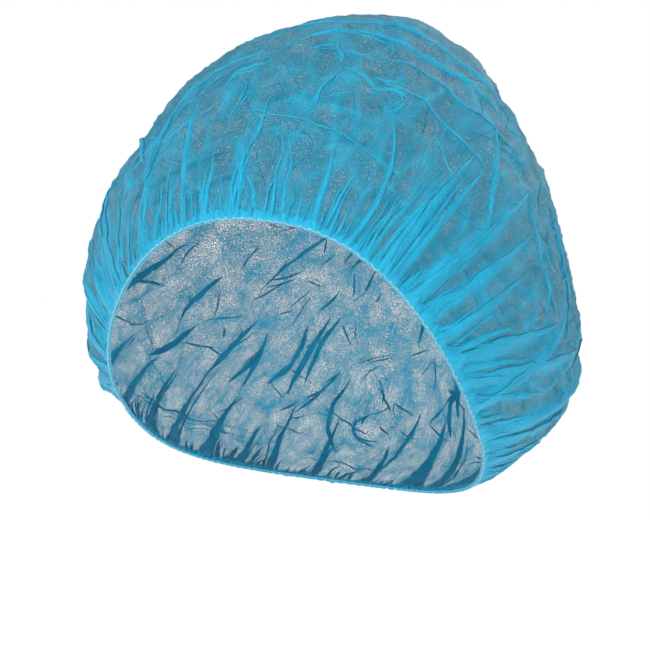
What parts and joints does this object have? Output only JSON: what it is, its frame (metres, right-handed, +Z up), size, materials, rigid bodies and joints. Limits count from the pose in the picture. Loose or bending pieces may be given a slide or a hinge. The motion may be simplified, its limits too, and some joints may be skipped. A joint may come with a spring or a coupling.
{
  "type": "disposable bouffant hairnet",
  "caption": "Light-blue non-woven bouffant cap in its worn form: a puffed, pleated thin crown gathered into a narrow overlocked hem on a round elastic edge, open at face and nape.",
  "frame": {"origin": "middle of the opening that the elastic goes round, where the head enters", "axes": "+Z up as worn, the forehead's side towards -Y, the wearer's left towards +X"},
  "size_m": [0.2132, 0.2152, 0.2011],
  "materials": {
    "fabric": "matte translucent spunbond non-woven",
    "hem_fabric": "matte gathered non-woven",
    "elastic": "matte covered elastic"
  },
  "bodies": {
    "root": {"crown": "fabric", "hem": "hem_fabric", "elastic": "elastic"}
  },
  "joints": []
}
